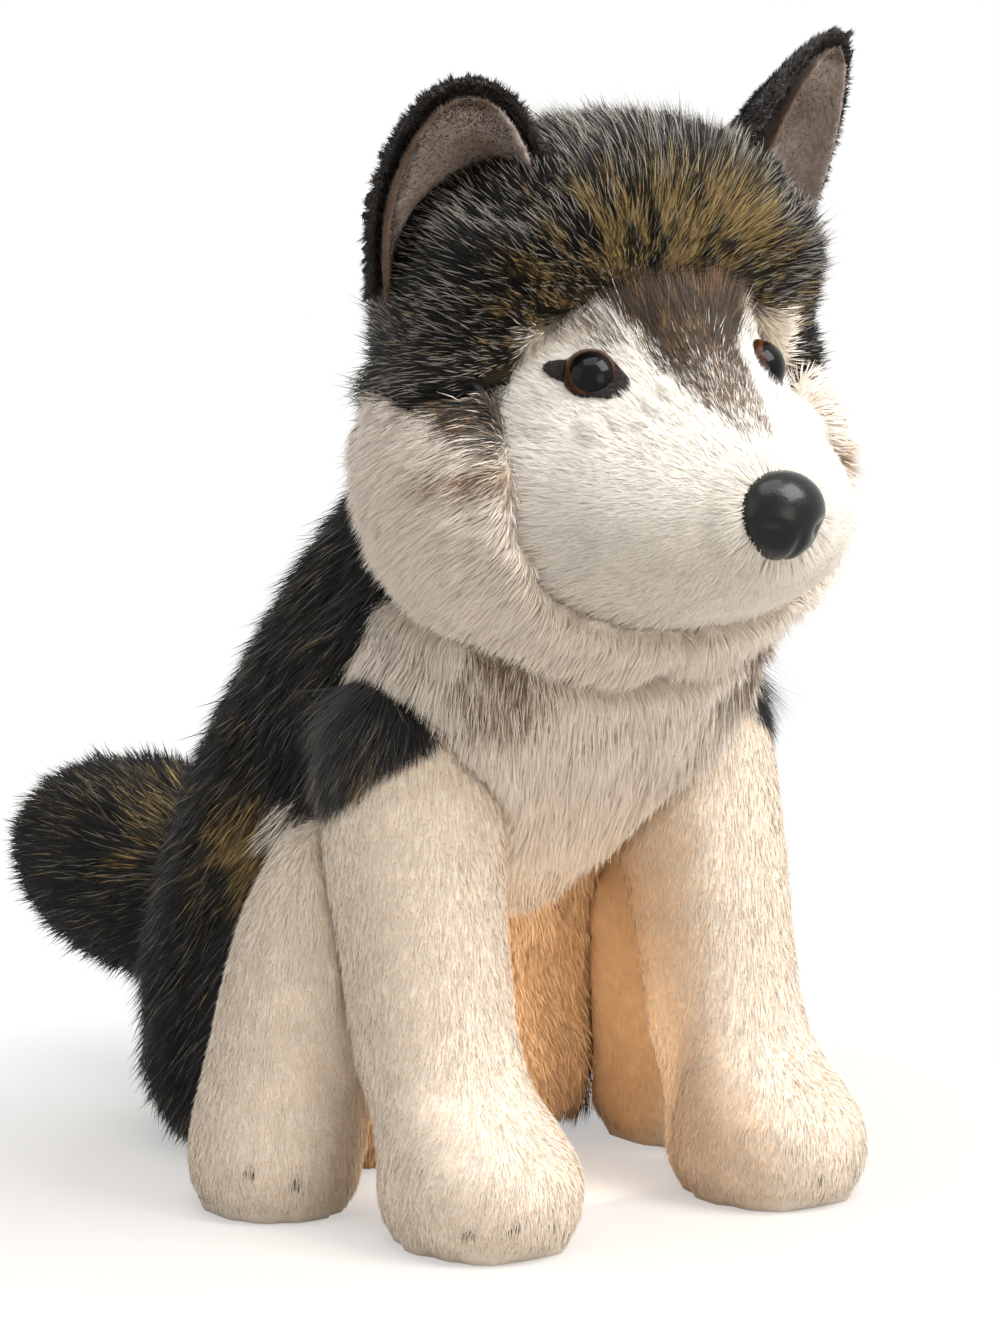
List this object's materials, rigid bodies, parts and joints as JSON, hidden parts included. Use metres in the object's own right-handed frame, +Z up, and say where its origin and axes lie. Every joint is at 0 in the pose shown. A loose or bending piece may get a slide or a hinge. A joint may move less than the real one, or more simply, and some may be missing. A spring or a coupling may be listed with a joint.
{
  "type": "plush wolf",
  "caption": "Sitting stuffed wolf with a long dark coat, pale face, chest and legs, cupped ears, domed plastic eyes and a moulded nose.",
  "frame": {"origin": "middle of the flat rump that it sits on", "axes": "+Z up, the wolf looks along -Y, its left side is +X"},
  "size_m": [0.2422, 0.4511, 0.399],
  "materials": {
    "dark_pile": "long mottled near-black acrylic pile",
    "cream_pile": "brushed cream pile",
    "white_pile": "short clipped off-white pile",
    "ear_velour": "short taupe velour",
    "black_suede": "black suede cloth",
    "eye_plastic": "clear dome over an amber ring and black pupil",
    "nose_plastic": "satin black moulding"
  },
  "bodies": {
    "root": {"body": "dark_pile", "head": "dark_pile", "tail": "dark_pile", "ear_back_right": "dark_pile", "ear_back_left": "dark_pile", "chest_tuft": "cream_pile", "cheek_ruff_right": "cream_pile", "cheek_ruff_left": "cream_pile", "foreleg_right": "cream_pile", "foreleg_left": "cream_pile", "hind_leg_right": "cream_pile", "hind_leg_left": "cream_pile", "face": "white_pile", "ear_lining_right": "ear_velour", "ear_lining_left": "ear_velour", "eye_patch_right": "black_suede", "eye_patch_left": "black_suede", "eye_right": "eye_plastic", "eye_left": "eye_plastic", "nose": "nose_plastic"}
  },
  "joints": []
}
